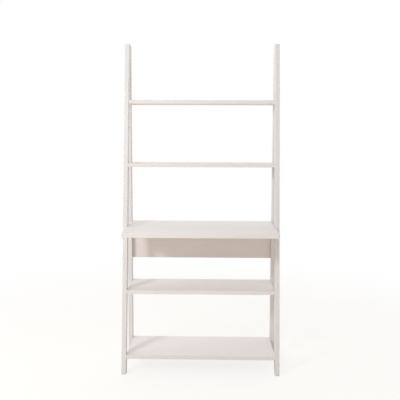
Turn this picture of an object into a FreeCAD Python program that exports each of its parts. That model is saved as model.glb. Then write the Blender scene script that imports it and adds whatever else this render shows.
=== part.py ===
import FreeCAD, Part

import math
import os
from collections import namedtuple

os.makedirs("parts", exist_ok=True)

# A ladder desk: two A-shaped side frames joined by four shelves, a desk board and a back panel.
# Millimetres. +Z is up, the front faces -Y, and the origin is on the floor under the middle.
# A "depth" is measured forwards from the rear plane, the plane that stands against a wall.

# Side frames
frame_height = 1750.0
frame_width = 835.0
member_width = 24.0
member_depth = 48.0
leg_angle = 8.05
mitre_depth = 6.0

# Boards: the height of each top face above the floor, and the thicknesses
top_shelf_height = 1448.0
upper_shelf_height = 1110.0
desk_height = 777.0
lower_shelf_height = 439.0
bottom_shelf_height = 100.0
shelf_thickness = 20.0
desk_thickness = 25.0
desk_depth = 465.0
shelf_setback = 1.0
panel_height = 185.0
panel_thickness = 18.0

# Eased edges
member_edge_radius = 2.0
shelf_edge_radius = 2.5
desk_edge_radius = 3.0
desk_corner_radius = 6.0

# Fixings: each joint has one cam bolt and one wood dowel, side by side
fixing_pitch = 22.0
panel_fixing_inset = 40.0
bore_clearance = 0.1

dowel_radius = 4.0
dowel_in_board = 20.0
dowel_in_frame = 10.0
dowel_chamfer = 1.0

bolt_thread_radius = 2.5
bolt_thread_length = 11.0
bolt_collar_radius = 3.6
bolt_collar_length = 1.5
bolt_shank_radius = 2.2
bolt_head_radius = 3.2
bolt_head_length = 5.0
bolt_bore_radius = 4.0

cam_radius = 7.4
cam_backset = 24.0
cam_cover = 3.5
cam_recess = 0.3
cam_cross_span = 7.0
cam_cross_width = 1.6
cam_cross_depth = 2.0

# Fasteners at the tops of the side frames, where leg and upright meet
apex_pitch = 18.0
apex_dowel_half_length = 18.0
screw_length = 70.0
screw_shank_radius = 2.4
screw_head_radius = 4.6
screw_head_length = 3.2
screw_point_length = 5.0
screw_cross_span = 4.6
screw_cross_width = 1.0
screw_cross_depth = 2.2

# Sizes that follow
lean = math.tan(math.radians(leg_angle))
leg_level_depth = member_depth / math.cos(math.radians(leg_angle))
leg_top_reach = member_depth + leg_level_depth - mitre_depth
leg_foot_reach = leg_top_reach + lean * frame_height
overall_depth = max(desk_depth, leg_foot_reach)
rear_y = overall_depth / 2
inner_half = frame_width / 2 - member_width
panel_top = desk_height - desk_thickness
mitre_length = mitre_depth / lean
parallel_cosine = math.cos(math.radians(leg_angle / 2))

X_AXIS = FreeCAD.Vector(1, 0, 0)
Y_AXIS = FreeCAD.Vector(0, 1, 0)
Z_AXIS = FreeCAD.Vector(0, 0, 1)
ORIGIN = FreeCAD.Vector(0, 0, 0)
SIDES = {"left": -1, "right": 1}

# A board's name, top height, thickness and depth
Board = namedtuple("Board", "name top thickness depth")
# The axis of a fixing: it runs along X through one side frame, at a depth and a height
Fixing = namedtuple("Fixing", "side depth height")


def leg_front(height):
    """Depth of a leg's front face at a height."""
    return leg_foot_reach - lean * height


def leg_centre(height):
    """Depth of the middle of a leg at a height."""
    return leg_front(height) - leg_level_depth / 2


def point(x, depth, height):
    """A point of the model from its distance in front of the rear plane."""
    return FreeCAD.Vector(x, rear_y - depth, height)


def block(x_range, depth_range, height_range):
    """A box between two values along each direction."""
    corner = point(x_range[0], depth_range[1], height_range[0])
    width = x_range[1] - x_range[0]
    depth = depth_range[1] - depth_range[0]
    height = height_range[1] - height_range[0]
    return Part.makeBox(width, depth, height, corner)


def shelf(name, top):
    """A shelf whose front edge lies just behind the front faces of the legs."""
    return Board(name, top, shelf_thickness, leg_front(top) - shelf_setback)


top_shelf = shelf("top_shelf", top_shelf_height)
upper_shelf = shelf("upper_shelf", upper_shelf_height)
lower_shelf = shelf("lower_shelf", lower_shelf_height)
bottom_shelf = shelf("bottom_shelf", bottom_shelf_height)
desk = Board("desk_board", desk_height, desk_thickness, desk_depth)
boards = [top_shelf, upper_shelf, desk, lower_shelf, bottom_shelf]


def board_bolts(board):
    """Cam bolts of a board: one to each upright and one to each leg."""
    height = board.top - board.thickness / 2
    depths = [member_depth / 2 + fixing_pitch / 2, leg_centre(height) - fixing_pitch / 2]
    return [Fixing(side, depth, height) for side in SIDES.values() for depth in depths]


def board_dowels(board):
    """Wood dowels of a board, each on the far side of its member from the cam bolt."""
    height = board.top - board.thickness / 2
    depths = [member_depth / 2 - fixing_pitch / 2, leg_centre(height) + fixing_pitch / 2]
    return [Fixing(side, depth, height) for side in SIDES.values() for depth in depths]


def panel_bolts():
    """Cam bolts of the back panel: two to each upright."""
    heights = [panel_top - panel_fixing_inset, panel_top - panel_height + panel_fixing_inset]
    depth = panel_thickness / 2
    return [Fixing(side, depth, height) for side in SIDES.values() for height in heights]


def panel_dowels():
    """Wood dowels of the back panel: one to each upright, at half height."""
    height = panel_top - panel_height / 2
    return [Fixing(side, panel_thickness / 2, height) for side in SIDES.values()]


def along_fixing(fixing, start, end, radius):
    """A cylinder on a fixing's axis, from start to end beyond the side frame's inner face."""
    x = fixing.side * (inner_half - start)
    base = point(x, fixing.depth, fixing.height)
    return Part.makeCylinder(radius, end - start, base, X_AXIS * -fixing.side)


def turned(outline):
    """A solid turned about +X from (position, radius) corners."""
    corners = [FreeCAD.Vector(position, radius, 0) for position, radius in outline]
    face = Part.Face(Part.makePolygon(corners + corners[:1]))
    return face.revolve(ORIGIN, X_AXIS, 360)


def seated(solid, fixing):
    """A solid made along +X from a side frame's inner face, set on its fixing's axis."""
    placed = solid.copy()
    if fixing.side > 0:
        placed.rotate(ORIGIN, Z_AXIS, 180)
    placed.translate(point(fixing.side * inner_half, fixing.depth, fixing.height))
    return placed


def dowel(behind, ahead):
    """A wood dowel with chamfered ends, from behind its joint to ahead of it."""
    shoulder = dowel_radius - dowel_chamfer
    return turned([
        (-behind, 0), (-behind, shoulder), (dowel_chamfer - behind, dowel_radius),
        (ahead - dowel_chamfer, dowel_radius), (ahead, shoulder), (ahead, 0),
    ])


def end_dowel(fixing):
    """The dowel of a board's end, set on its fixing's axis."""
    return seated(dowel(dowel_in_frame, dowel_in_board), fixing)


def cam_bolt():
    """A cam bolt: thread in the side frame, collar on its inner face, head inside the cam."""
    head_start = cam_backset - bolt_head_length / 2
    head_end = cam_backset + bolt_head_length / 2
    return turned([
        (-bolt_thread_length, 0), (-bolt_thread_length, bolt_thread_radius),
        (0, bolt_thread_radius), (0, bolt_collar_radius),
        (bolt_collar_length, bolt_collar_radius), (bolt_collar_length, bolt_shank_radius),
        (head_start, bolt_shank_radius), (head_start, bolt_head_radius),
        (head_end, bolt_head_radius), (head_end, 0),
    ])


def cam_height(thickness):
    """Height of a cam whose bolt lies in the middle of a board."""
    return thickness / 2 + cam_cover - cam_recess


def cross_recess(span, width, depth):
    """The two arms of a screwdriver's cross, sunk along +X from a face at X = 0."""
    arm = Part.makeBox(depth, span, width, FreeCAD.Vector(0, -span / 2, -width / 2))
    crossing_arm = arm.copy()
    crossing_arm.rotate(ORIGIN, X_AXIS, 90)
    return arm.fuse(crossing_arm)


def cam(thickness):
    """A cam along +Z over its driven face, with a mouth towards -X for the bolt's head."""
    height = cam_height(thickness)
    body = Part.makeCylinder(cam_radius, height)
    axis_height = thickness / 2 - cam_recess
    mouth_base = FreeCAD.Vector(-cam_radius, 0, axis_height)
    mouth_length = cam_radius + bolt_head_length / 2 + bore_clearance
    mouth = Part.makeCylinder(bolt_head_radius + bore_clearance, mouth_length, mouth_base, X_AXIS)
    cross = cross_recess(cam_cross_span, cam_cross_width, cam_cross_depth)
    cross.rotate(ORIGIN, Y_AXIS, -90)
    return body.cut([mouth, cross])


def board_cam(fixing, thickness):
    """A cam in the underside of a board."""
    placed = cam(thickness)
    if fixing.side > 0:
        placed.rotate(ORIGIN, Z_AXIS, 180)
    x = fixing.side * (inner_half - cam_backset)
    placed.translate(point(x, fixing.depth, fixing.height - thickness / 2 + cam_recess))
    return placed


def panel_cam(fixing):
    """A cam in the rear face of the back panel."""
    placed = cam(panel_thickness)
    if fixing.side > 0:
        placed.rotate(ORIGIN, Z_AXIS, 180)
    placed.rotate(ORIGIN, X_AXIS, 90)
    x = fixing.side * (inner_half - cam_backset)
    placed.translate(point(x, cam_recess, fixing.height))
    return placed


def cam_pocket(base, direction, thickness):
    """The round pocket that takes a cam, from a board's face."""
    height = cam_height(thickness) + cam_recess + bore_clearance
    return Part.makeCylinder(cam_radius + bore_clearance, height, base, direction)


def board_bores(bolts, dowels):
    """The bores in a board's ends for its bolts and dowels."""
    dowel_reach = dowel_in_board + bore_clearance
    dowel_bore_radius = dowel_radius + bore_clearance
    bores = [along_fixing(fixing, 0, cam_backset, bolt_bore_radius) for fixing in bolts]
    bores += [along_fixing(fixing, 0, dowel_reach, dowel_bore_radius) for fixing in dowels]
    return bores


def frame_bores(side):
    """The bores in one side frame's inner face for every bolt and dowel."""
    bolts = [fixing for board in boards for fixing in board_bolts(board)] + panel_bolts()
    dowels = [fixing for board in boards for fixing in board_dowels(board)] + panel_dowels()
    thread_end = -(bolt_thread_length + bore_clearance)
    dowel_end = -(dowel_in_frame + bore_clearance)
    bores = [
        along_fixing(fixing, thread_end, 0, bolt_thread_radius + bore_clearance)
        for fixing in bolts if fixing.side == side
    ]
    bores += [
        along_fixing(fixing, dowel_end, 0, dowel_radius + bore_clearance)
        for fixing in dowels if fixing.side == side
    ]
    return bores


def edges_along(solid, axis):
    """The edges of a straight-edged solid that run along an axis, and not half a lean from it."""
    def runs_along(edge):
        return abs(edge.tangentAt(edge.FirstParameter).dot(axis)) > parallel_cosine
    return [edge for edge in solid.Edges if runs_along(edge)]


def side_range(side):
    """The X range of one side frame."""
    return sorted([side * inner_half, side * frame_width / 2])


def apex_heights():
    """Heights of the dowel and the screw that join a leg to its upright."""
    middle = frame_height - mitre_length / 2
    return middle + apex_pitch / 2, middle - apex_pitch / 2


def apex_axis_point(side, depth, height):
    """A point in the middle of a side frame's width."""
    return point(side * (inner_half + member_width / 2), depth, height)


def screw():
    """A countersunk wood screw along +X from the face of its head."""
    tip_start = screw_length - screw_point_length
    blank = turned([
        (0, 0), (0, screw_head_radius), (screw_head_length, screw_shank_radius),
        (tip_start, screw_shank_radius), (screw_length, 0),
    ])
    return blank.cut(cross_recess(screw_cross_span, screw_cross_width, screw_cross_depth))


def screw_bore(side):
    """The bore for an apex screw through the upright and into the leg."""
    head_radius = screw_head_radius + bore_clearance
    head_end = screw_head_length + bore_clearance
    shank_radius = screw_shank_radius + bore_clearance
    shank_end = screw_length + bore_clearance
    bore = turned([
        (0, 0), (0, head_radius), (head_end, shank_radius), (shank_end, shank_radius), (shank_end, 0),
    ])
    bore.rotate(ORIGIN, Z_AXIS, -90)
    bore.translate(apex_axis_point(side, 0, apex_heights()[1]))
    return bore


def apex_dowel_bore(side):
    """The bore for an apex dowel in the upright and the leg."""
    half = apex_dowel_half_length + bore_clearance
    base = apex_axis_point(side, member_depth - half, apex_heights()[0])
    return Part.makeCylinder(dowel_radius + bore_clearance, 2 * half, base, Y_AXIS * -1)


def apex_screws():
    """One screw through the rear of each upright."""
    screws = []
    for side in SIDES.values():
        placed = screw()
        placed.rotate(ORIGIN, Z_AXIS, -90)
        placed.translate(apex_axis_point(side, 0, apex_heights()[1]))
        screws.append(placed)
    return screws


def apex_dowels():
    """One dowel between each upright and the mitred top of its leg."""
    dowels = []
    for side in SIDES.values():
        placed = dowel(apex_dowel_half_length, apex_dowel_half_length)
        placed.rotate(ORIGIN, Z_AXIS, -90)
        placed.translate(apex_axis_point(side, member_depth, apex_heights()[0]))
        dowels.append(placed)
    return dowels


def upright(side):
    """The rear upright of one side frame."""
    blank = block(side_range(side), (0, member_depth), (0, frame_height))
    top_edges = [edge for edge in blank.Edges if edge.BoundBox.ZMin > frame_height / 2]
    eased = blank.makeFillet(member_edge_radius, edges_along(blank, Z_AXIS) + top_edges)
    return eased.cut(frame_bores(side) + [screw_bore(side), apex_dowel_bore(side)])


def leg(side):
    """The slanting front leg, flat on the floor and mitred against its upright."""
    x = side_range(side)[0]
    foot_rear = leg_foot_reach - leg_level_depth
    mitre_start = frame_height - mitre_length
    corners = [
        point(x, leg_foot_reach, 0),
        point(x, foot_rear, 0),
        point(x, member_depth, mitre_start),
        point(x, member_depth, frame_height),
        point(x, leg_top_reach, frame_height),
    ]
    face = Part.Face(Part.makePolygon(corners + corners[:1]))
    blank = face.extrude(X_AXIS * member_width)
    slope = FreeCAD.Vector(0, lean, 1).normalize()
    eased = blank.makeFillet(member_edge_radius, edges_along(blank, slope))
    return eased.cut(frame_bores(side) + [screw_bore(side), apex_dowel_bore(side)])


def eased_shelf(board):
    """A shelf's board with its long edges eased."""
    heights = (board.top - board.thickness, board.top)
    blank = block((-inner_half, inner_half), (0, board.depth), heights)
    return blank.makeFillet(shelf_edge_radius, edges_along(blank, X_AXIS))


def eased_desk(board):
    """The desk board with rounded front corners and all its outer edges eased."""
    heights = (board.top - board.thickness, board.top)
    blank = block((-inner_half, inner_half), (0, board.depth), heights)
    middle_y = rear_y - board.depth / 2
    corners = [edge for edge in edges_along(blank, Z_AXIS) if edge.CenterOfMass.y < middle_y]
    rounded = blank.makeFillet(desk_corner_radius, corners)
    rims = [edge for edge in rounded.Edges if edge.BoundBox.ZLength < board.thickness / 2]
    return rounded.makeFillet(desk_edge_radius, rims)


def bored_board(board, blank):
    """A board with its end bores and cam pockets cut."""
    pockets = [
        cam_pocket(
            point(fixing.side * (inner_half - cam_backset), fixing.depth, board.top - board.thickness),
            Z_AXIS,
            board.thickness,
        )
        for fixing in board_bolts(board)
    ]
    return blank.cut(board_bores(board_bolts(board), board_dowels(board)) + pockets)


def back_panel():
    """The panel that stiffens the frame under the rear of the desk board."""
    heights = (panel_top - panel_height, panel_top)
    blank = block((-inner_half, inner_half), (0, panel_thickness), heights)
    middle = panel_top - panel_height / 2
    lower_edges = [edge for edge in edges_along(blank, X_AXIS) if edge.CenterOfMass.z < middle]
    eased = blank.makeFillet(shelf_edge_radius, lower_edges)
    pockets = [
        cam_pocket(
            point(fixing.side * (inner_half - cam_backset), 0, fixing.height),
            Y_AXIS * -1,
            panel_thickness,
        )
        for fixing in panel_bolts()
    ]
    return eased.cut(board_bores(panel_bolts(), panel_dowels()) + pockets)


def export(name, solids):
    """Write one node, a single solid or a group of them."""
    shape = solids[0] if len(solids) == 1 else Part.makeCompound(solids)
    shape.exportStep("parts/" + name + ".step")


for side_name, side in SIDES.items():
    export(side_name + "_upright", [upright(side)])
    export(side_name + "_leg", [leg(side)])

for board in boards:
    blank = eased_desk(board) if board is desk else eased_shelf(board)
    export(board.name, [bored_board(board, blank)])
    bolts = board_bolts(board)
    export(board.name + "_cam_bolts", [seated(cam_bolt(), fixing) for fixing in bolts])
    export(board.name + "_cams", [board_cam(fixing, board.thickness) for fixing in bolts])
    export(board.name + "_dowels", [end_dowel(fixing) for fixing in board_dowels(board)])

export("back_panel", [back_panel()])
export("back_panel_cam_bolts", [seated(cam_bolt(), fixing) for fixing in panel_bolts()])
export("back_panel_cams", [panel_cam(fixing) for fixing in panel_bolts()])
export("back_panel_dowels", [end_dowel(fixing) for fixing in panel_dowels()])

export("apex_screws", apex_screws())
export("apex_dowels", apex_dowels())
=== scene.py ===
"""A painted ladder desk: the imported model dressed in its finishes, its fittings and a studio.

Two A-shaped side frames carry four shelves, a deep desk board and a low back panel. Lengths are in
metres, +Z is up, the front faces -Y, and the origin is on the floor under the middle of the desk.
"""

import logging
import math
from abc import ABC, abstractmethod
from collections.abc import Mapping, Sequence
from dataclasses import dataclass
from enum import Enum
from itertools import pairwise
from typing import ClassVar

import bmesh
import bpy
import numpy as np
from mathutils import Euler, Matrix, Vector


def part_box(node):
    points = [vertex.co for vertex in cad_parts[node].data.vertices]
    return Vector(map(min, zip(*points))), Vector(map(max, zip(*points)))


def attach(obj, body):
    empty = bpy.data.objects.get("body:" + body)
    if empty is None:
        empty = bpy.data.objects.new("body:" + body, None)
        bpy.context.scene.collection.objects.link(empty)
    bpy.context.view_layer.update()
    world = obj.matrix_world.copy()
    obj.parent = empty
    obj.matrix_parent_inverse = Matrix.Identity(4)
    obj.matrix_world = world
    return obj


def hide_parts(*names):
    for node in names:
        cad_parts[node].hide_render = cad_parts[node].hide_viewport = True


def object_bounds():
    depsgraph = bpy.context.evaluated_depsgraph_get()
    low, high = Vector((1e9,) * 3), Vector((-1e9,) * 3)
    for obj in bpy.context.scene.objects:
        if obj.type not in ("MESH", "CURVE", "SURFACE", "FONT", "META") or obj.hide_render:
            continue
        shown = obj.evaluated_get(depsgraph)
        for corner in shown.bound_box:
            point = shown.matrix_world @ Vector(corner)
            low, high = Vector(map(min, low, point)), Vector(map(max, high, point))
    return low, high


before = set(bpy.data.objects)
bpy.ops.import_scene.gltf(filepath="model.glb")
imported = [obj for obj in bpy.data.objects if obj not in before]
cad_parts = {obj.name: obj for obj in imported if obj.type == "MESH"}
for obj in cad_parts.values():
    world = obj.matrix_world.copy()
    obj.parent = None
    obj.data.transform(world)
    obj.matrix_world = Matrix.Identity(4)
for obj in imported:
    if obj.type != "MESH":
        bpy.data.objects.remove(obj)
CAD_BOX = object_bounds()

LOG = logging.getLogger("ladder_desk")
BODY = "root"
MM = 0.001
WELD = MM / 1000

Triple = tuple[float, float, float]
Colour = Triple
Setting = str | float | bool
Box = tuple[Vector, Vector]
Shell = bmesh.types.BMesh
Loop = list[bmesh.types.BMVert]

WHITE: Colour = (1.0, 1.0, 1.0)
BLACK: Colour = (0.0, 0.0, 0.0)

# The sockets of a Mix node that carry colours, by number.
MIX_SHARE, MIX_BASE, MIX_OTHER = 0, 6, 7
MIX_RESULT = 2


class Kind(Enum):
    """What a shader field holds, and so which node works on it."""

    NUMBER = "ShaderNodeMath"
    VECTOR = "ShaderNodeVectorMath"
    COLOUR = "ShaderNodeMix"


class Grain(Enum):
    """Which way the fibres of a piece of timber run."""

    ACROSS = "across"
    UPRIGHT = "upright"
    LEANING = "leaning"


class Side(Enum):
    """Which of the two side frames, as the names of its pieces begin."""

    LEFT = "left"
    RIGHT = "right"


class Run(Enum):
    """The way that dowels run, as the number of its axis."""

    ACROSS = 0
    FORWARD = 1


class Tone(Enum):
    """The tones of the paint: the colour itself, and the colour of its faint clouds. The two tones
    are partly a real difference between the frame's and the boards' paint, and partly painted
    light: the warm tone is lighter and warmer for the light on the shelf tops and back panel, and
    the cool tone is cooler for the cool light on the side frames.
    """

    # Frame paint, made cooler partly as painted light: the cool light on the side frames.
    COOL_PAINT_AND_PAINTED_LIGHT = ((0.738, 0.716, 0.716), (0.725, 0.693, 0.685))
    # Board paint, made lighter and warmer partly as painted light: more and warmer light on the
    # boards.
    WARM = ((0.788, 0.735, 0.718), (0.774, 0.712, 0.687))


class Field:
    """A number, vector or colour that varies over a surface, with Python's operators."""

    def __init__(
        self, bench: "Bench", socket: bpy.types.NodeSocket, kind: Kind = Kind.NUMBER
    ) -> None:
        """Wraps one output socket.

        Args:
            bench: The bench that holds the socket's node.
            socket: The output socket.
            kind: What the socket carries.
        """
        self.bench = bench
        self.socket = socket
        self.kind = kind

    def _with(self, operation: str, *operands: "Operand") -> "Field":
        """Runs one operation on the operands, in the kind of this field.

        Args:
            operation: The node's operation or blend type.
            operands: Every operand in order, this field among them.

        Returns:
            The result as a field of the same kind.
        """
        return self.bench.combine(self.kind, operation, operands)

    def __add__(self, other: "Operand") -> "Field":
        """Self plus other."""
        return self._with("ADD", self, other)

    def __radd__(self, other: "Operand") -> "Field":
        """Other plus self."""
        return self._with("ADD", other, self)

    def __sub__(self, other: "Operand") -> "Field":
        """Self minus other."""
        return self._with("SUBTRACT", self, other)

    def __rsub__(self, other: "Operand") -> "Field":
        """Other minus self."""
        return self._with("SUBTRACT", other, self)

    def __mul__(self, other: "Operand") -> "Field":
        """Self times other."""
        return self._with("MULTIPLY", self, other)

    def __rmul__(self, other: "Operand") -> "Field":
        """Other times self."""
        return self._with("MULTIPLY", other, self)

    def smaller(self, other: "Operand") -> "Field":
        """The smaller of two numbers."""
        return self._with("MINIMUM", self, other)

    def larger(self, other: "Operand") -> "Field":
        """The larger of two numbers."""
        return self._with("MAXIMUM", self, other)

    def absolute(self) -> "Field":
        """The size of a number or of each part of a vector."""
        return self._with("ABSOLUTE", self)

    def sine(self) -> "Field":
        """The sine of a number in radians."""
        return self._with("SINE", self)

    def floor(self) -> "Field":
        """The whole number under a number."""
        return self._with("FLOOR", self)

    def root(self) -> "Field":
        """The square root of a number."""
        return self._with("SQRT", self)

    def parts(self) -> tuple["Field", "Field", "Field"]:
        """The three numbers of a vector."""
        split = self.bench.node("ShaderNodeSeparateXYZ", inputs={"Vector": self})
        return tuple(Field(self.bench, split.outputs[axis]) for axis in "XYZ")

    def rising(self, low: float, high: float) -> "Field":
        """A smooth step from 0 at low to 1 at high, either of which may be the larger.

        Args:
            low: The value that gives 0.
            high: The value that gives 1.

        Returns:
            The step, never outside 0 to 1.
        """
        start, end = sorted((low, high))
        first, last = (0.0, 1.0) if low < high else (1.0, 0.0)
        step = self.bench.node(
            "ShaderNodeMapRange",
            {"interpolation_type": "SMOOTHSTEP"},
            {"Value": self, "From Min": start, "From Max": end, "To Min": first, "To Max": last},
        )
        return Field(self.bench, step.outputs["Result"])


Operand = Field | float | Triple


class Bench:
    """Lays out the nodes of one material or of the world."""

    def __init__(self, tree: bpy.types.NodeTree) -> None:
        """Clears a node tree for new work."""
        self.tree = tree
        self.tree.nodes.clear()

    @classmethod
    def for_material(cls, name: str) -> tuple["Bench", bpy.types.Material]:
        """A bench over a new material.

        Args:
            name: The material's name.

        Returns:
            The bench, and the material that it lays out.
        """
        material = bpy.data.materials.new(name)
        material.use_nodes = True
        return cls(material.node_tree), material

    def node(
        self,
        kind: str,
        settings: Mapping[str, Setting] | None = None,
        inputs: Mapping[str | int, Operand] | None = None,
    ) -> bpy.types.Node:
        """Adds any node: its settings first, then its sockets.

        Args:
            kind: The node's type.
            settings: Its properties.
            inputs: Values or fields, by the socket's name or number.

        Returns:
            The new node.
        """
        made = self.tree.nodes.new(kind)
        for key, value in (settings or {}).items():
            setattr(made, key, value)
        for key, value in (inputs or {}).items():
            self._feed(made.inputs[key], value)
        return made

    def _feed(self, socket: bpy.types.NodeSocket, value: Operand) -> None:
        """Links a field to a socket, or sets the socket's own value.

        Args:
            socket: The input socket.
            value: The field, number, vector or colour.
        """
        if isinstance(value, Field):
            self.tree.links.new(value.socket, socket)
        elif socket.type == "RGBA":
            socket.default_value = (*value, 1.0)
        else:
            socket.default_value = value

    def combine(self, kind: Kind, operation: str, operands: Sequence[Operand]) -> Field:
        """One step of arithmetic, in the node that suits what the operands hold.

        Args:
            kind: What the operands hold.
            operation: The node's operation or blend type.
            operands: The operands in order.

        Returns:
            The result as a field of the same kind.
        """
        if kind is Kind.COLOUR:
            return self.mix(operands[0], operands[1], 1.0, operation)
        made = self.node(kind.value, {"operation": operation}, dict(enumerate(operands)))
        return Field(self, made.outputs[0], kind)

    def mix(self, base: Operand, other: Operand, share: Operand, blend: str = "MIX") -> Field:
        """Two colours in one.

        Args:
            base: The colour at a share of 0.
            other: The colour that comes in.
            share: How much of it, from 0 to 1.
            blend: The blend type.

        Returns:
            The mixed colour.
        """
        made = self.node(
            Kind.COLOUR.value,
            {"data_type": "RGBA", "blend_type": blend},
            {MIX_SHARE: share, MIX_BASE: base, MIX_OTHER: other},
        )
        return Field(self, made.outputs[MIX_RESULT], Kind.COLOUR)

    def object_point(self) -> Field:
        """The point of the surface in the desk's own frame."""
        return Field(self, self.node("ShaderNodeTexCoord").outputs["Object"], Kind.VECTOR)

    def relief(self, height: Field) -> Field:
        """The surface's direction once it has been raised.

        Args:
            height: How far it is raised, in metres.

        Returns:
            The new direction, for a shader's Normal.
        """
        sockets = {"Strength": 1.0, "Distance": 1.0, "Height": height}
        made = self.node("ShaderNodeBump", inputs=sockets)
        return Field(self, made.outputs["Normal"], Kind.VECTOR)

    def finish(self, inputs: Mapping[str, Operand]) -> None:
        """Ends a material in one principled shader.

        Args:
            inputs: The shader's sockets, as values or fields.
        """
        shader = self.node("ShaderNodeBsdfPrincipled", inputs=inputs)
        self.node("ShaderNodeOutputMaterial", inputs={"Surface": Field(self, shader.outputs[0])})


@dataclass(frozen=True)
class Noise:
    """Smooth noise about 0, from -0.5 to 0.5.

    Attributes:
        rates: Its cycles per metre along each axis.
        octaves: How many octaves of finer noise it has.
        roughness: How strong each finer octave is.
    """

    rates: Triple
    octaves: float = 2.0
    roughness: float = 0.5

    def read(self, place: Field) -> Field:
        """The noise at a point.

        Args:
            place: The point.

        Returns:
            The noise as a number.
        """
        made = place.bench.node(
            "ShaderNodeTexNoise",
            inputs={
                "Vector": place * self.rates,
                "Scale": 1.0,
                "Detail": self.octaves,
                "Roughness": self.roughness,
            },
        )
        return Field(place.bench, made.outputs[0]) - 0.5

    def turned(self, run: Run) -> "Noise":
        """The same noise, with its first rate along a run and its second one on both sides.

        Args:
            run: The way that the first rate goes.

        Returns:
            The turned noise.
        """
        along, across, _ = self.rates
        rates = tuple(along if axis == run.value else across for axis in range(3))
        return Noise(rates, self.octaves, self.roughness)


@dataclass(frozen=True)
class Patches:
    """Soft patches from 0 to 1, which begin at one value of a noise and are full at another."""

    noise: Noise
    begin: float
    full: float

    def read(self, place: Field) -> Field:
        """How far inside a patch a point lies."""
        return self.noise.read(place).rising(self.begin, self.full)

    def turned(self, run: Run) -> "Patches":
        """The same patches, with the first rate of their noise along a run."""
        return Patches(self.noise.turned(run), self.begin, self.full)


@dataclass(frozen=True)
class Stock:
    """One piece of timber: where it lies in the frame of its own grain, and how it was sawn.

    The two shifts are what the noise and the numbers of the strips move by from piece to piece.
    """

    name: str
    turn: Euler
    centre: Vector
    half: Vector
    order: int
    stave: float

    NOISE_SHIFT: ClassVar[Vector] = Vector((1.37, 2.11, 3.53))
    STRIP_SHIFT: ClassVar[float] = 31.0

    @classmethod
    def of_node(cls, name: str, grain: Grain, lean: float, order: int, stave: float) -> "Stock":
        """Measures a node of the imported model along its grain.

        Args:
            name: The node's name.
            grain: Which way its fibres run.
            lean: The angle of a leaning piece from upright, in radians.
            order: Its number, so that no two pieces show the same figure.
            stave: The width of the strips that it is glued up from.

        Returns:
            The piece of timber.
        """
        quarter = math.pi / 2
        turns = {
            Grain.ACROSS: (0.0, 0.0, 0.0),
            Grain.UPRIGHT: (0.0, quarter, 0.0),
            Grain.LEANING: (lean, quarter, 0.0),
        }
        turn = Euler(turns[grain])
        matrix = np.array(turn.to_matrix())
        corners = np.array([vertex.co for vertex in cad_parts[name].data.vertices]) @ matrix.T
        low, high = Vector(corners.min(0)), Vector(corners.max(0))
        return cls(name, turn, (low + high) / 2, (high - low) / 2, order, stave)

    def along_grain(self, bench: Bench) -> Field:
        """The surface's point from the piece's middle, turned so that the grain runs along X.

        Args:
            bench: The bench of the material.

        Returns:
            The point.
        """
        point = bench.object_point()
        made = bench.node(
            "ShaderNodeMapping",
            inputs={"Vector": point, "Rotation": self.turn, "Location": -self.centre},
        )
        return Field(bench, made.outputs[0], Kind.VECTOR)

    def shifted(self, local: Field) -> Field:
        """The point along the grain, moved so that each piece reads other noise."""
        return local + tuple(self.NOISE_SHIFT * (self.order + 1))

    def from_arris(self, local: Field) -> Field:
        """How far the surface's point lies from the nearest arris.

        Args:
            local: The point along the grain.

        Returns:
            The distance in metres: the second smallest distance to the piece's six faces.
        """
        across, deep, high = (tuple(self.half) - local.absolute()).parts()
        return across.smaller(deep).larger(across.larger(deep).smaller(high))

    def strips(self, local: Field) -> tuple[Field, Field]:
        """The strips that the piece is glued up from.

        Args:
            local: The point along the grain.

        Returns:
            The distance from the middle of the strip, and the strip's number.
        """
        deep = local.parts()[1]
        first = self.order * self.STRIP_SHIFT
        number = (deep * (1 / self.stave)).floor() + first
        aside = deep - (number - first + 0.5) * self.stave
        return aside, number


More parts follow.
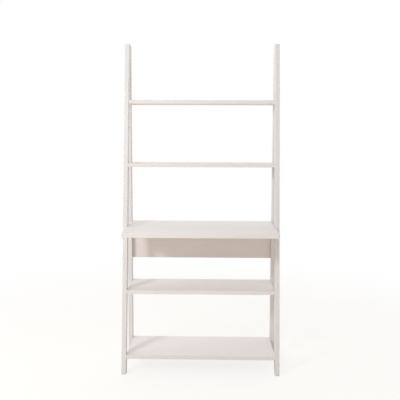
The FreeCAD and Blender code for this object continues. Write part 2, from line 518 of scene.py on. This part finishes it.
@dataclass(frozen=True)
class SatinPaint:
    """Satin off-white paint over planed softwood, with the grain just telling through it.

    A tint is the share of another colour or of a change in brightness. A dulling is added to the
    roughness where a texture is strongest, and a polish is taken from it.
    """

    tone: Tone
    roughness: float = 0.42
    gloss: float = 0.44

    ring_pitch: float = 6.5 * MM
    ring_height: float = 0.036 * MM
    ring_tint: float = 0.009
    ring_drift: Noise = Noise((1.6, 9.0, 9.0), 1.0)
    drift_aside: float = 16.0 * MM
    drift_down: float = 0.5
    pith_depth: float = 0.02
    pith_spread: float = 0.09
    slope_aside: float = 0.04
    slope_down: float = 0.10

    fibres: Noise = Noise((14.0, 900.0, 900.0), 3.0, 0.6)
    fibre_height: float = 0.014 * MM
    fibre_tint: float = 0.022

    clouds: Noise = Noise((3.0, 6.0, 6.0))
    cloud_span: tuple[float, float] = (-0.35, 0.4)
    cloud_tint: float = 0.6
    cloud_dulling: float = 0.10

    roller: Noise = Noise((480.0, 480.0, 480.0))
    roller_height: float = 0.008 * MM
    roller_dulling: float = 0.08

    worn_colour: Colour = (0.640, 0.540, 0.452)
    wear_width: float = 1.6 * MM
    rubs: Patches = Patches(Noise((5.0, 60.0, 60.0), 2.0, 0.6), 0.04, 0.24)
    wear_tint: float = 0.18
    wear_polish: float = 0.10

    scuff_colour: Colour = (0.430, 0.385, 0.350)
    scuff_top: float = 34.0 * MM
    knocks: Patches = Patches(Noise((60.0, 160.0, 160.0), 3.0), 0.0, 0.25)
    scuff_tint: float = 0.22
    scuff_dulling: float = 0.12

    def growth_rings(self, stock: Stock, local: Field) -> Field:
        """The bands that the growth rings make where a strip was sawn through them.

        Args:
            stock: The piece of timber.
            local: The point along its grain.

        Returns:
            The bands as a number from -1 to 1.
        """
        bench = local.bench
        along, _, high = local.parts()
        aside, number = stock.strips(local)
        chance = bench.node("ShaderNodeTexWhiteNoise", {"noise_dimensions": "1D"}, {"W": number})
        pith, depth, tilt = Field(bench, chance.outputs["Color"], Kind.VECTOR).parts()
        drift = self.ring_drift.read(stock.shifted(local)) * self.drift_aside
        slope = along * (tilt - 0.5)
        sideways = aside + (pith - 0.5) * stock.stave + slope * self.slope_aside + drift
        upwards = high + depth * self.pith_spread + self.pith_depth
        upwards = upwards + slope * self.slope_down + drift * self.drift_down
        radius = (sideways * sideways + upwards * upwards).root()
        return (radius * (2 * math.pi / self.ring_pitch)).sine()

    def material(self, stock: Stock) -> bpy.types.Material:
        """The finish of one piece of timber.

        Args:
            stock: The piece.

        Returns:
            Its material.
        """
        bench, material = Bench.for_material(stock.name + "_paint")
        local = stock.along_grain(bench)
        place = stock.shifted(local)
        rings = self.growth_rings(stock, local)
        fibres = self.fibres.read(place)
        clouds = self.clouds.read(place)
        roller = self.roller.read(place)
        worn = stock.from_arris(local).rising(self.wear_width, 0.0) * self.rubs.read(place)
        height = bench.object_point().parts()[2]
        scuffed = height.rising(self.scuff_top, 0.0) * self.knocks.read(place)

        plain, cloudy = self.tone.value
        colour = bench.mix(plain, cloudy, clouds.rising(*self.cloud_span) * self.cloud_tint)
        colour = colour * (1.0 + rings * self.ring_tint + fibres * self.fibre_tint)
        colour = bench.mix(colour, self.worn_colour, worn * self.wear_tint)
        colour = bench.mix(colour, self.scuff_colour, scuffed * self.scuff_tint)
        roughness = self.roughness + clouds * self.cloud_dulling + roller * self.roller_dulling
        roughness = roughness - worn * self.wear_polish + scuffed * self.scuff_dulling
        relief = rings * self.ring_height + fibres * self.fibre_height
        relief = relief + roller * self.roller_height
        bench.finish(
            {
                "Base Color": colour,
                "Roughness": roughness,
                "Specular IOR Level": self.gloss,
                "Normal": bench.relief(relief),
            }
        )
        return material


@dataclass(frozen=True)
class PlatedSteel:
    """Zinc-plated steel with a faint drawn texture and dull blotches in the plating."""

    colour: Colour = (0.62, 0.63, 0.64)
    dull_colour: Colour = (0.50, 0.49, 0.46)
    roughness: float = 0.30
    drawn: Noise = Noise((300.0, 4000.0, 4000.0))
    drawn_height: float = 0.006 * MM
    drawn_dulling: float = 0.10
    blotches: Patches = Patches(Noise((350.0, 350.0, 350.0), 3.0), -0.05, 0.25)
    blotch_tint: float = 0.7
    blotch_dulling: float = 0.25

    def material(self) -> bpy.types.Material:
        """The finish of the bolts and screws.

        Returns:
            Their material.
        """
        bench, material = Bench.for_material("plated_steel")
        place = bench.object_point()
        drawn = self.drawn.read(place)
        blotches = self.blotches.read(place)
        roughness = self.roughness + blotches * self.blotch_dulling + drawn * self.drawn_dulling
        bench.finish(
            {
                "Base Color": bench.mix(self.colour, self.dull_colour, blotches * self.blotch_tint),
                "Roughness": roughness,
                "Metallic": 1.0,
                "Normal": bench.relief(drawn * self.drawn_height),
            }
        )
        return material


@dataclass(frozen=True)
class CastZinc:
    """Die-cast zinc: matt and slightly grainy, brighter where a driver has turned it."""

    colour: Colour = (0.46, 0.46, 0.47)
    bright_colour: Colour = (0.66, 0.66, 0.66)
    metallic: float = 0.9
    roughness: float = 0.50
    grain: Noise = Noise((2600.0, 2600.0, 2600.0), 3.0, 0.6)
    grain_height: float = 0.030 * MM
    grain_dulling: float = 0.12
    rubs: Patches = Patches(Noise((420.0, 420.0, 420.0)), 0.05, 0.20)
    rub_tint: float = 0.8
    rub_polish: float = 0.18

    def material(self) -> bpy.types.Material:
        """The finish of the cams.

        Returns:
            Their material.
        """
        bench, material = Bench.for_material("cast_zinc")
        place = bench.object_point()
        grain = self.grain.read(place)
        rubbed = self.rubs.read(place)
        roughness = self.roughness - rubbed * self.rub_polish + grain * self.grain_dulling
        bench.finish(
            {
                "Base Color": bench.mix(self.colour, self.bright_colour, rubbed * self.rub_tint),
                "Roughness": roughness,
                "Metallic": self.metallic,
                "Normal": bench.relief(grain * self.grain_height),
            }
        )
        return material


@dataclass(frozen=True)
class BareBeech:
    """Bare beech: pale brown, with short darker flecks along the grain.

    The first rate of each noise is along the grain, whichever way the dowels run.
    """

    run: Run
    colour: Colour = (0.560, 0.372, 0.205)
    fleck_colour: Colour = (0.360, 0.205, 0.098)
    roughness: float = 0.62
    fibres: Noise = Noise((90.0, 2200.0, 2200.0), 3.0, 0.6)
    fibre_height: float = 0.05 * MM
    fibre_tint: float = 0.3
    fibre_dulling: float = 0.15
    flecks: Patches = Patches(Noise((240.0, 1600.0, 1600.0), 1.0), 0.14, 0.24)
    fleck_tint: float = 0.6

    def material(self) -> bpy.types.Material:
        """The finish of the dowels.

        Returns:
            Their material.
        """
        bench, material = Bench.for_material("beech_" + self.run.name.lower())
        place = bench.object_point()
        fibres = self.fibres.turned(self.run).read(place)
        flecks = self.flecks.turned(self.run).read(place)
        colour = bench.mix(self.colour, self.fleck_colour, flecks * self.fleck_tint)
        bench.finish(
            {
                "Base Color": colour * (1.0 + fibres * self.fibre_tint),
                "Roughness": self.roughness + fibres * self.fibre_dulling,
                "Normal": bench.relief(fibres * self.fibre_height - flecks * self.fibre_height),
            }
        )
        return material


@dataclass(frozen=True)
class StudioFloor:
    """A pale studio floor that takes the desk's shadow and whitens towards its far edge."""

    colour: Colour = (0.95, 0.867, 0.75)
    near: float = 0.9
    far: float = 3.2
    least_white: float = 0.80
    mottle: Noise = Noise((5.0, 5.0, 5.0), 3.0)
    mottle_tint: float = 0.01

    def material(self) -> bpy.types.Material:
        """The floor's finish.

        Returns:
            Its material.
        """
        bench, material = Bench.for_material("studio_floor")
        place = bench.object_point()
        east, north, _ = place.parts()
        reach = (east * east + north * north).root().rising(self.near, self.far)
        seen = Field(bench, bench.node("ShaderNodeLightPath").outputs["Is Camera Ray"])
        mottle = self.mottle.read(place) * self.mottle_tint + self.mottle_tint / 2
        tint = bench.mix(self.colour, BLACK, mottle)
        paper = bench.node("ShaderNodeBsdfDiffuse", inputs={"Color": tint})
        white = bench.node("ShaderNodeEmission", inputs={"Color": WHITE, "Strength": 1.0})
        share = seen * (self.least_white + reach * (1.0 - self.least_white))
        blended = bench.node(
            "ShaderNodeMixShader",
            inputs={0: share, 1: Field(bench, paper.outputs[0]), 2: Field(bench, white.outputs[0])},
        )
        surface = Field(bench, blended.outputs[0])
        bench.node("ShaderNodeOutputMaterial", inputs={"Surface": surface})
        return material


def dress(node: str, material: bpy.types.Material) -> str:
    """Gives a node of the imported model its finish.

    Args:
        node: The node's name.
        material: Its material.

    Returns:
        The node's name.
    """
    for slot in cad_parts[node].material_slots:
        slot.material = material
    LOG.info("dressed %s in %s", node, material.name)
    return node


@dataclass
class SideFrame:
    """One A-shaped side frame: a rear upright and a leg that leans against it.

    A member is sawn from one strip, because the stave is wider than it.
    """

    side: Side
    order: int
    stave: float = 0.5

    def lean(self) -> float:
        """The leg's angle from upright, from the front of its foot and of its top.

        Returns:
            The angle in radians.
        """
        name = self.side.value + "_leg"
        low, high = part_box(name)
        points = [vertex.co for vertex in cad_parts[name].data.vertices]
        foot = min(point.y for point in points if point.z < low.z + MM)
        top = min(point.y for point in points if point.z > high.z - MM)
        return math.atan2(top - foot, high.z - low.z)

    def dress(self, paint: SatinPaint) -> list[str]:
        """Paints the frame's two members.

        Args:
            paint: The paint.

        Returns:
            The names of the pieces.
        """
        members = (("_upright", Grain.UPRIGHT), ("_leg", Grain.LEANING))
        stocks = [
            Stock.of_node(self.side.value + part, grain, self.lean(), order, self.stave)
            for order, (part, grain) in enumerate(members, self.order)
        ]
        return [dress(stock.name, paint.material(stock)) for stock in stocks]


@dataclass
class Boards:
    """The boards that run between the side frames, glued up from strips."""

    names: tuple[str, ...]
    order: int
    stave: float = 92.0 * MM

    def dress(self, paint: SatinPaint) -> list[str]:
        """Paints the boards.

        Args:
            paint: The paint.

        Returns:
            The names of the pieces.
        """
        stocks = [
            Stock.of_node(name, Grain.ACROSS, 0.0, order, self.stave)
            for order, name in enumerate(self.names, self.order)
        ]
        return [dress(stock.name, paint.material(stock)) for stock in stocks]


@dataclass(frozen=True)
class Ring:
    """One ring of a turned fitting: its place along the axis, radius, and share of the groove."""

    along: float
    radius: float
    share: float = 0.0


@dataclass(frozen=True)
class Thread:
    """A coarse wood thread, cut into a shank between two places along its axis."""

    start: float
    end: float
    pitch: float
    depth: float
    flank: float = 1.8
    rings_per_turn: int = 9

    def places(self) -> list[float]:
        """Where the rings of the thread lie.

        Returns:
            Their places along the axis.
        """
        span = self.end - self.start
        count = round(span / self.pitch * self.rings_per_turn)
        return [self.start + span * number / count for number in range(count + 1)]

    def share(self, along: float) -> float:
        """How much of its depth the thread has, so that it runs in and out over a turn."""
        return min(1.0, (along - self.start) / self.pitch, (self.end - along) / self.pitch)

    def groove(self, along: float, turn: float) -> float:
        """How deep the right-hand groove is at a place along the axis and a share of a turn."""
        phase = (along / self.pitch - turn) % 1.0
        return self.depth * min(1.0, abs(2 * phase - 1) * self.flank)


@dataclass(frozen=True)
class DriverCross:
    """The tapered cross that a screwdriver turns, sunk into the flat end of a fitting."""

    span: float
    width: float
    depth: float
    taper: float = 0.45

    def outline(self) -> list[Vector]:
        """The corners of the cross.

        Returns:
            Its twelve corners, in order round the axis.
        """
        arm, half = self.span / 2, self.width / 2
        quarter = (Vector((arm, -half, 0)), Vector((arm, half, 0)), Vector((half, half, 0)))
        turns = [Matrix.Rotation(number * math.pi / 2, 3, "Z") for number in range(4)]
        return [turn @ corner for turn in turns for corner in quarter]

    def sink(self, shell: Shell, rim: Loop, end: Matrix) -> None:
        """Cuts the cross into an end.

        Args:
            shell: The mesh under work.
            rim: The end's outer points.
            end: Where the middle of the end lies, with +Z out of it.
        """
        corners = self.outline()
        drop = Vector((0.0, 0.0, self.depth))
        top = [shell.verts.new(end @ corner) for corner in corners]
        floor = [shell.verts.new(end @ (corner * self.taper - drop)) for corner in corners]
        for number, corner in enumerate(top):
            shell.faces.new((corner, floor[number], floor[number - 1], top[number - 1]))
        shell.faces.new(floor)
        edges = [
            shell.edges.get((loop[number - 1], loop[number]))
            for loop in (rim, top)
            for number in range(len(loop))
        ]
        bmesh.ops.triangle_fill(shell, use_beauty=True, edges=edges)


@dataclass
class Fittings(ABC):
    """Round fittings, all alike, which stand for the solids of one node.

    Faces that meet at more than the crease, in degrees, keep a sharp edge.
    """

    node: str
    slot: ClassVar[str]
    word: ClassVar[str]
    facets: ClassVar[int]
    points_outward: ClassVar[bool]
    crease: ClassVar[float] = 32.0

    @abstractmethod
    def rings(self, length: float) -> list[Ring]:
        """The rings of a fitting of a given length, from the end that goes in first."""

    @abstractmethod
    def groove(self, along: float, turn: float) -> float:
        """How deep the groove is at a place along the axis and a share of a turn."""

    def close_end(self, shell: Shell, rim: Loop, end: Matrix) -> None:
        """Closes the last end, which is plain unless a fitting says otherwise."""
        shell.faces.new(rim)

    def boxes(self) -> list[Box]:
        """The boxes of the node's loose solids.

        Returns:
            The lowest and highest corner of each solid.
        """
        shell = bmesh.new()
        shell.from_mesh(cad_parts[self.node].data)
        bmesh.ops.remove_doubles(shell, verts=shell.verts, dist=WELD)
        left = dict.fromkeys(shell.verts)
        found: list[Box] = []
        while left:
            solid: list[Vector] = []
            waiting = [left.popitem()[0]]
            while waiting:
                vertex = waiting.pop()
                solid.append(vertex.co)
                near = [edge.other_vert(vertex) for edge in vertex.link_edges]
                fresh = [other for other in dict.fromkeys(near) if other in left]
                for other in fresh:
                    del left[other]
                waiting += fresh
            sides = list(zip(*solid))
            found.append((Vector(map(min, sides)), Vector(map(max, sides))))
        shell.free()
        return found

    def skin(self, shell: Shell, box: Box) -> None:
        """Skins one fitting where a solid lies.

        Args:
            shell: The mesh under work.
            box: The solid's lowest and highest corners.
        """
        low, high = box
        centre, size = (low + high) / 2, high - low
        axis = max(range(3), key=lambda side: size[side])
        heading = Vector(1.0 if side == axis else 0.0 for side in range(3))
        if (centre[axis] > 0.0) != self.points_outward:
            heading.negate()
        start = Matrix.Translation(centre - heading * (size[axis] / 2))
        place = start @ heading.to_track_quat("Z", "Y").to_matrix().to_4x4()
        loops = [self.loop(shell, ring, place) for ring in self.rings(size[axis])]
        for near, far in pairwise(loops):
            for number in range(self.facets):
                shell.faces.new((near[number - 1], near[number], far[number], far[number - 1]))
        shell.faces.new(list(reversed(loops[0])))
        self.close_end(shell, loops[-1], place @ Matrix.Translation((0.0, 0.0, size[axis])))

    def loop(self, shell: Shell, ring: Ring, place: Matrix) -> Loop:
        """The points of one ring.

        Args:
            shell: The mesh under work.
            ring: The ring.
            place: Where the fitting starts, with +Z along it.

        Returns:
            The points in order round the axis.
        """
        points = []
        for number in range(self.facets):
            turn = number / self.facets
            radius = ring.radius - ring.share * self.groove(ring.along, turn)
            angle = turn * 2 * math.pi
            local = Vector((math.cos(angle) * radius, math.sin(angle) * radius, ring.along))
            points.append(shell.verts.new(place @ local))
        return points

    def build(self, material: bpy.types.Material) -> str:
        """Builds the fittings as one piece that stands for their node.

        Args:
            material: Their finish.

        Returns:
            The piece's name.
        """
        shell = bmesh.new()
        for box in self.boxes():
            self.skin(shell, box)
        bmesh.ops.recalc_face_normals(shell, faces=shell.faces)
        name = f"{self.node}_{self.word}"
        mesh = bpy.data.meshes.new(name)
        shell.to_mesh(mesh)
        shell.free()
        mesh.shade_smooth()
        mesh.set_sharp_from_angle(angle=math.radians(self.crease))
        mesh.materials.append(material)
        piece = bpy.data.objects.new(name, mesh)
        bpy.context.scene.collection.objects.link(piece)
        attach(piece, BODY)
        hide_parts(self.node)
        LOG.info("built %s in %s", name, material.name)
        return name


@dataclass
class Threaded(Fittings):
    """Steel fittings with a wood thread, and a driver's cross in the end that goes in last."""

    thread: Thread
    cross: DriverCross
    slot: ClassVar[str] = "zinc_steel"
    word: ClassVar[str] = "threaded"
    facets: ClassVar[int] = 24

    def groove(self, along: float, turn: float) -> float:
        """The depth of the thread."""
        return self.thread.groove(along, turn)

    def close_end(self, shell: Shell, rim: Loop, end: Matrix) -> None:
        """Closes the head with its cross."""
        self.cross.sink(shell, rim, end)


@dataclass
class CamBolts(Threaded):
    """Bolts that screw into a side frame and whose necks the cams hold."""

    thread: Thread = Thread(start=0.3 * MM, end=10.6 * MM, pitch=1.8 * MM, depth=0.60 * MM)
    cross: DriverCross = DriverCross(span=4.0 * MM, width=0.9 * MM, depth=1.8 * MM)
    thread_length: float = 11.0 * MM
    thread_radius: float = 2.5 * MM
    tip_radius: float = 2.0 * MM
    collar_length: float = 1.5 * MM
    collar_radius: float = 3.6 * MM
    shank_radius: float = 2.2 * MM
    neck_length: float = 3.0 * MM
    neck_radius: float = 1.7 * MM
    head_length: float = 5.0 * MM
    head_radius: float = 3.2 * MM
    bevel: float = 0.4 * MM
    points_outward: ClassVar[bool] = False

    def rings(self, length: float) -> list[Ring]:
        """The tip, thread, collar, shank, neck and head.

        Args:
            length: The bolt's whole length.

        Returns:
            The rings in order.
        """
        thread, bevel = self.thread, self.bevel
        turned = [Ring(along, self.thread_radius, thread.share(along)) for along in thread.places()]
        collar_end = self.thread_length + self.collar_length
        head_start = length - self.head_length
        neck_start = head_start - self.neck_length
        collar_inner, head_inner = self.collar_radius - bevel, self.head_radius - bevel
        return [
            Ring(0.0, self.tip_radius),
            *turned,
            Ring(self.thread_length, self.thread_radius),
            Ring(self.thread_length, collar_inner),
            Ring(self.thread_length + bevel, self.collar_radius),
            Ring(collar_end - bevel, self.collar_radius),
            Ring(collar_end, collar_inner),
            Ring(collar_end, self.shank_radius),
            Ring(neck_start - bevel, self.shank_radius),
            Ring(neck_start, self.neck_radius),
            Ring(head_start, self.neck_radius),
            Ring(head_start, head_inner),
            Ring(head_start + bevel, self.head_radius),
            Ring(length - bevel, self.head_radius),
            Ring(length, head_inner),
        ]


@dataclass
class ApexScrews(Threaded):
    """Countersunk screws through the tops of the uprights into the legs."""

    thread: Thread = Thread(start=0.4 * MM, end=46.0 * MM, pitch=2.8 * MM, depth=0.75 * MM)
    cross: DriverCross = DriverCross(span=4.6 * MM, width=1.0 * MM, depth=2.2 * MM)
    point_length: float = 5.0 * MM
    shank_radius: float = 2.4 * MM
    head_radius: float = 4.6 * MM
    head_length: float = 3.2 * MM
    points_outward: ClassVar[bool] = True

    def rings(self, length: float) -> list[Ring]:
        """The point, thread, shank and head.

        Args:
            length: The screw's whole length.

        Returns:
            The rings in order.
        """
        rings = []
        for along in self.thread.places():
            size = min(1.0, along / self.point_length)
            rings.append(Ring(along, self.shank_radius * size, self.thread.share(along) * size))
        head_start = length - self.head_length
        return [*rings, Ring(head_start, self.shank_radius), Ring(length, self.head_radius)]


@dataclass
class Dowels(Fittings):
    """Fluted dowels with eased ends, where the flutes run out."""

    radius: float = 4.0 * MM
    end_bevel: float = 1.0 * MM
    flutes: int = 12
    flute_depth: float = 0.35 * MM
    end_share: float = 0.5
    slot: ClassVar[str] = "beech_dowel"
    word: ClassVar[str] = "fluted"
    facets: ClassVar[int] = 72
    points_outward: ClassVar[bool] = True

    def rings(self, length: float) -> list[Ring]:
        """The body and its eased ends.

        Args:
            length: The dowel's whole length.

        Returns:
            The rings in order.
        """
        bevel, radius = self.end_bevel, self.radius
        return [
            Ring(0.0, radius - bevel),
            Ring(bevel, radius, self.end_share),
            Ring(2 * bevel, radius, 1.0),
            Ring(length - 2 * bevel, radius, 1.0),
            Ring(length - bevel, radius, self.end_share),
            Ring(length, radius - bevel),
        ]

    def groove(self, along: float, turn: float) -> float:
        """The depth of the flutes, the same all along."""
        return self.flute_depth * (0.5 - 0.5 * math.cos(turn * self.flutes * 2 * math.pi))


@dataclass(frozen=True)
class Lamp:
    """One square soft lamp that faces the middle of the desk.

    Its azimuth is in degrees from the front towards the left, and its elevation in degrees.
    """

    name: str
    azimuth: float
    elevation: float
    distance: float
    breadth: float
    power: float
    colour: Colour

    def hang(self, aim: Vector) -> None:
        """Hangs the lamp.

        Args:
            aim: The point that it faces.
        """
        azimuth, elevation = math.radians(self.azimuth), math.radians(self.elevation)
        level = math.cos(elevation)
        west, south = math.sin(azimuth) * level, math.cos(azimuth) * level
        heading = Vector((-west, -south, math.sin(elevation)))
        light = bpy.data.lights.new(self.name, "AREA")
        light.shape = "SQUARE"
        light.size = self.breadth
        light.energy = self.power
        light.color = self.colour
        holder = bpy.data.objects.new(self.name, light)
        holder.location = aim + heading * self.distance
        holder.rotation_euler = (-heading).to_track_quat("-Z", "Y").to_euler()
        bpy.context.scene.collection.objects.link(holder)


@dataclass
class Studio:
    """The floor, the lights and the camera. Angles are in degrees, and the sensor is in mm."""

    camera_place: Triple = (0.05246, -3.2125, 1.247)
    camera_pitch: float = 5.824
    camera_yaw: float = -1.045
    camera_roll: float = 0.1859
    focal_pixels: float = 610.1
    frame_pixels: float = 400.0
    sensor: float = 36.0
    floor_reach: float = 30.0
    floor_segments: int = 96
    ambient: float = 0.65
    back_glow: float = 1.03
    side_shade: float = 0.19
    lamps: tuple[Lamp, ...] = (
        Lamp(
            name="key_light",
            azimuth=38.5,
            elevation=25.5,
            distance=3.5,
            breadth=0.55,
            power=49.3,
            colour=(0.948, 1.0, 1.043),
        ),
        Lamp(
            name="side_light",
            azimuth=92.0,
            elevation=25.0,
            distance=3.0,
            breadth=1.8,
            power=12.9,
            colour=WHITE,
        ),
    )

    def build(self) -> None:
        """Sets up the whole studio."""
        self.lay_floor()
        self.light_world()
        low, high = CAD_BOX
        for lamp in self.lamps:
            lamp.hang((low + high) / 2)
        self.stand_camera()
        bpy.context.scene.view_settings.view_transform = "Standard"

    def lay_floor(self) -> None:
        """A wide flat sheet under the desk."""
        sheet = bmesh.new()
        bmesh.ops.create_circle(
            sheet, cap_ends=True, radius=self.floor_reach, segments=self.floor_segments
        )
        mesh = bpy.data.meshes.new("studio_floor")
        sheet.to_mesh(mesh)
        sheet.free()
        mesh.materials.append(StudioFloor().material())
        floor = bpy.data.objects.new("studio_floor", mesh)
        bpy.context.scene.collection.objects.link(floor)

    def light_world(self) -> None:
        """A pale surround, brighter behind and darker at the sides, that reflections see white."""
        world = bpy.data.worlds.new("studio")
        world.use_nodes = True
        bpy.context.scene.world = world
        bench = Bench(world.node_tree)
        path = bench.node("ShaderNodeLightPath")
        seen = Field(bench, path.outputs["Is Camera Ray"])
        for name in ("Is Glossy Ray", "Is Transmission Ray"):
            seen = seen.larger(Field(bench, path.outputs[name]))
        coordinates = bench.node("ShaderNodeTexCoord")
        aside, behind, _ = Field(bench, coordinates.outputs["Generated"], Kind.VECTOR).parts()
        light = behind.larger(0.0) * self.back_glow - aside.absolute() * self.side_shade
        light = light + self.ambient
        light = light * (1.0 - seen) + seen
        sky = bench.node("ShaderNodeBackground", inputs={"Color": WHITE, "Strength": light})
        bench.node("ShaderNodeOutputWorld", inputs={"Surface": Field(bench, sky.outputs[0])})

    def stand_camera(self) -> None:
        """The camera at the front, slightly above the desk board and looking down."""
        angles = (self.camera_pitch, self.camera_yaw, self.camera_roll)
        pitch, yaw, roll = map(math.radians, angles)
        level = math.cos(pitch)
        forward = Vector((math.sin(yaw) * level, math.cos(yaw) * level, -math.sin(pitch)))
        right = Vector((math.cos(yaw), -math.sin(yaw), 0.0))
        up = right.cross(forward)
        turned_right = right * math.cos(roll) + up * math.sin(roll)
        turned_up = up * math.cos(roll) - right * math.sin(roll)
        turn = Matrix((turned_right, turned_up, -forward)).transposed()
        lens = bpy.data.cameras.new("camera")
        lens.sensor_width = self.sensor
        lens.lens = self.focal_pixels / self.frame_pixels * self.sensor
        camera = bpy.data.objects.new("camera", lens)
        camera.matrix_world = Matrix.Translation(self.camera_place) @ turn.to_4x4()
        bpy.context.scene.collection.objects.link(camera)
        bpy.context.scene.camera = camera


def main() -> None:
    """Dresses the desk's pieces in order and sets up the studio."""
    logging.basicConfig(level=logging.INFO, format="%(name)s: %(message)s")
    # The frame and board copies of one paint differ partly by painted light: boards lighter and
    # warmer, frames cooler.
    frame_paint = SatinPaint(Tone.COOL_PAINT_AND_PAINTED_LIGHT)
    board_paint = SatinPaint(Tone.WARM)
    steel = PlatedSteel().material()
    zinc = CastZinc().material()
    beech_across = BareBeech(Run.ACROSS).material()
    beech_forward = BareBeech(Run.FORWARD).material()
    pieces: list[str] = []
    for side_frame in (SideFrame(Side.LEFT, order=0), SideFrame(Side.RIGHT, order=2)):
        pieces += side_frame.dress(frame_paint)
    shelves = Boards(("top_shelf", "upper_shelf", "lower_shelf", "bottom_shelf"), order=4)
    working = Boards(("desk_board", "back_panel"), order=8)
    for boards in (shelves, working):
        pieces += boards.dress(board_paint)
        for board in boards.names:
            pieces.append(CamBolts(board + "_cam_bolts").build(steel))
            pieces.append(dress(board + "_cams", zinc))
            pieces.append(Dowels(board + "_dowels").build(beech_across))
    pieces.append(ApexScrews("apex_screws").build(steel))
    pieces.append(Dowels("apex_dowels").build(beech_forward))
    Studio().build()
    LOG.info("%d pieces in all", len(pieces))


if __name__ == "__main__":
    main()
